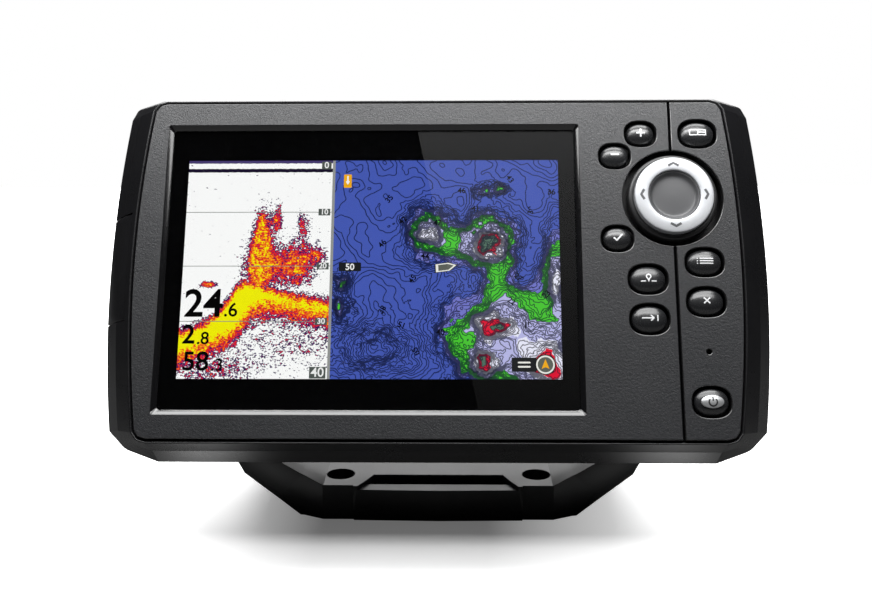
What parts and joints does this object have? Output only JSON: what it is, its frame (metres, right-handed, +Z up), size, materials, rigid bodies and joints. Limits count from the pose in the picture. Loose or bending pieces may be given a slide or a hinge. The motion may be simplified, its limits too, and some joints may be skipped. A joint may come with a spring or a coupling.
{
  "type": "chartplotter display",
  "caption": "Marine chartplotter display head with a five-inch colour screen, rubber keys and a rocking cursor pad, tilting on a U-shaped bracket with clamp knobs.",
  "frame": {"origin": "on the foot's flat underside, straight below the tilt axis", "axes": "+X to the reader's right along the tilt axis and the screen's width, +Y away from the reader, +Z up"},
  "size_m": [0.1922, 0.0833, 0.1266],
  "materials": {
    "bracket_plastic": "satin, very fine moulded grain",
    "knob_plastic": "satin moulded",
    "stud_steel": "turned",
    "washer_rubber": "matte",
    "insert_brass": "turned",
    "bezel_plastic": "dark grey, leather-like moulded stipple",
    "housing_plastic": "satin black",
    "door_plastic": "satin black",
    "cover_glass": "clear, polished",
    "gasket_foam": "foam, matte",
    "lcd": "lit colour picture",
    "tray_steel": "pressed sheet",
    "flex_film": "amber film",
    "silicone": "moulded",
    "key_rubber": "smooth, printed white symbols",
    "key_silver": "satin silver paint",
    "pad_skirt": "satin",
    "pad_ring": "satin silver",
    "pad_disc": "satin grey, dished",
    "pivot_nylon": "natural",
    "board": "green solder resist",
    "antenna_ceramic": "ceramic",
    "can_tin": "tinned sheet",
    "sounder_plastic": "matte",
    "socket_plastic": "satin",
    "seal_rubber": "moulded",
    "case_seal_rubber": "moulded",
    "screw_steel": "plain"
  },
  "bodies": {
    "bracket": {"gimbal_bracket": "bracket_plastic"},
    "head": {"card_door_pin": "stud_steel", "threaded_insert_left": "insert_brass", "threaded_insert_right": "insert_brass", "front_bezel": "bezel_plastic", "rear_housing": "housing_plastic", "cover_glass": "cover_glass", "lens_gasket": "gasket_foam", "lcd_panel": "lcd", "lcd_chassis": "tray_steel", "display_flex": "flex_film", "keypad_mat": "silicone", "main_board": "board", "gps_antenna": "antenna_ceramic", "shield_can": "can_tin", "card_socket": "can_tin", "sounder": "sounder_plastic", "power_socket": "socket_plastic", "sonar_socket": "socket_plastic", "case_seal": "case_seal_rubber", "case_screw_1": "screw_steel", "case_screw_2": "screw_steel", "case_screw_3": "screw_steel", "case_screw_4": "screw_steel", "case_screw_5": "screw_steel", "case_screw_6": "screw_steel", "board_screw_1": "screw_steel", "board_screw_2": "screw_steel", "board_screw_3": "screw_steel", "board_screw_4": "screw_steel"},
    "left_knob_carrier": {"knob_washer_left": "washer_rubber"},
    "left_knob": {"knob_left": "knob_plastic", "knob_stud_left": "stud_steel"},
    "right_knob_carrier": {"knob_washer_right": "washer_rubber"},
    "right_knob": {"knob_right": "knob_plastic", "knob_stud_right": "stud_steel"},
    "card_door": {"card_door": "door_plastic", "card_door_seal": "seal_rubber"},
    "nav_rocker": {"nav_pivot": "pivot_nylon"},
    "nav_pad": {"nav_skirt": "pad_skirt", "nav_ring": "pad_ring", "nav_disc": "pad_disc"},
    "key_plus": {"key_plus": "key_rubber"},
    "key_minus": {"key_minus": "key_rubber"},
    "key_view": {"key_view": "key_rubber"},
    "key_check": {"key_check": "key_rubber"},
    "key_mark": {"key_mark": "key_rubber"},
    "key_goto": {"key_goto": "key_rubber"},
    "key_menu": {"key_menu": "key_rubber"},
    "key_exit": {"key_exit": "key_rubber"},
    "key_power": {"key_power": "key_rubber", "power_key_lens": "key_silver"}
  },
  "joints": [
    {"name": "head_tilt", "type": "hinge", "parent": "bracket", "child": "head", "pos_m": [0, 0, 0.067], "axis": [1, 0, 0], "range_deg": [-45, 26]},
    {"name": "left_knob_travel", "type": "slide", "parent": "head", "child": "left_knob_carrier", "axis": [-1, 0, 0], "range_m": [0, 0.003]},
    {"name": "left_knob_turn", "type": "hinge", "parent": "left_knob_carrier", "child": "left_knob", "pos_m": [-0.075, 0, 0.067], "axis": [-1, 0, 0], "range_deg": [0, 1080]},
    {"name": "right_knob_travel", "type": "slide", "parent": "head", "child": "right_knob_carrier", "axis": [1, 0, 0], "range_m": [0, 0.003]},
    {"name": "right_knob_turn", "type": "hinge", "parent": "right_knob_carrier", "child": "right_knob", "pos_m": [0.075, 0, 0.067], "axis": [1, 0, 0], "range_deg": [0, 1080]},
    {"name": "card_door_hinge", "type": "hinge", "parent": "head", "child": "card_door", "pos_m": [-0.0909, -0.01852, 0.07648], "axis": [0, -0.4384, -0.8988], "range_deg": [0, 100]},
    {"name": "press_plus", "type": "slide", "parent": "head", "child": "key_plus", "axis": [0, 0.8988, -0.4384], "range_m": [0, 0.0008], "stiffness_N_per_m": 2500},
    {"name": "press_minus", "type": "slide", "parent": "head", "child": "key_minus", "axis": [0, 0.8988, -0.4384], "range_m": [0, 0.0008], "stiffness_N_per_m": 2500},
    {"name": "press_view", "type": "slide", "parent": "head", "child": "key_view", "axis": [0, 0.8988, -0.4384], "range_m": [0, 0.0008], "stiffness_N_per_m": 2500},
    {"name": "press_check", "type": "slide", "parent": "head", "child": "key_check", "axis": [0, 0.8988, -0.4384], "range_m": [0, 0.0008], "stiffness_N_per_m": 2500},
    {"name": "press_mark", "type": "slide", "parent": "head", "child": "key_mark", "axis": [0, 0.8988, -0.4384], "range_m": [0, 0.0008], "stiffness_N_per_m": 2500},
    {"name": "press_goto", "type": "slide", "parent": "head", "child": "key_goto", "axis": [0, 0.8988, -0.4384], "range_m": [0, 0.0008], "stiffness_N_per_m": 2500},
    {"name": "press_menu", "type": "slide", "parent": "head", "child": "key_menu", "axis": [0, 0.8988, -0.4384], "range_m": [0, 0.0008], "stiffness_N_per_m": 2500},
    {"name": "press_exit", "type": "slide", "parent": "head", "child": "key_exit", "axis": [0, 0.8988, -0.4384], "range_m": [0, 0.0008], "stiffness_N_per_m": 2500},
    {"name": "press_power", "type": "slide", "parent": "head", "child": "key_power", "axis": [0, 0.8988, -0.4384], "range_m": [0, 0.0008], "stiffness_N_per_m": 2500},
    {"name": "pad_rock_sideways", "type": "hinge", "parent": "head", "child": "nav_rocker", "pos_m": [0.0677, -0.01912, 0.09852], "axis": [0, 0.4384, 0.8988], "range_deg": [-3.5, 3.5], "stiffness_Nm_per_rad": 0.33},
    {"name": "pad_rock_up_down", "type": "hinge", "parent": "nav_rocker", "child": "nav_pad", "pos_m": [0.0677, -0.01912, 0.09852], "axis": [1, 0, 0], "range_deg": [-3.5, 3.5], "stiffness_Nm_per_rad": 0.33}
  ],
  "couplings": [
    {"joint": "left_knob_turn", "follows": "left_knob_travel", "rad_per_m": 6283.2},
    {"joint": "right_knob_turn", "follows": "right_knob_travel", "rad_per_m": 6283.2}
  ]
}
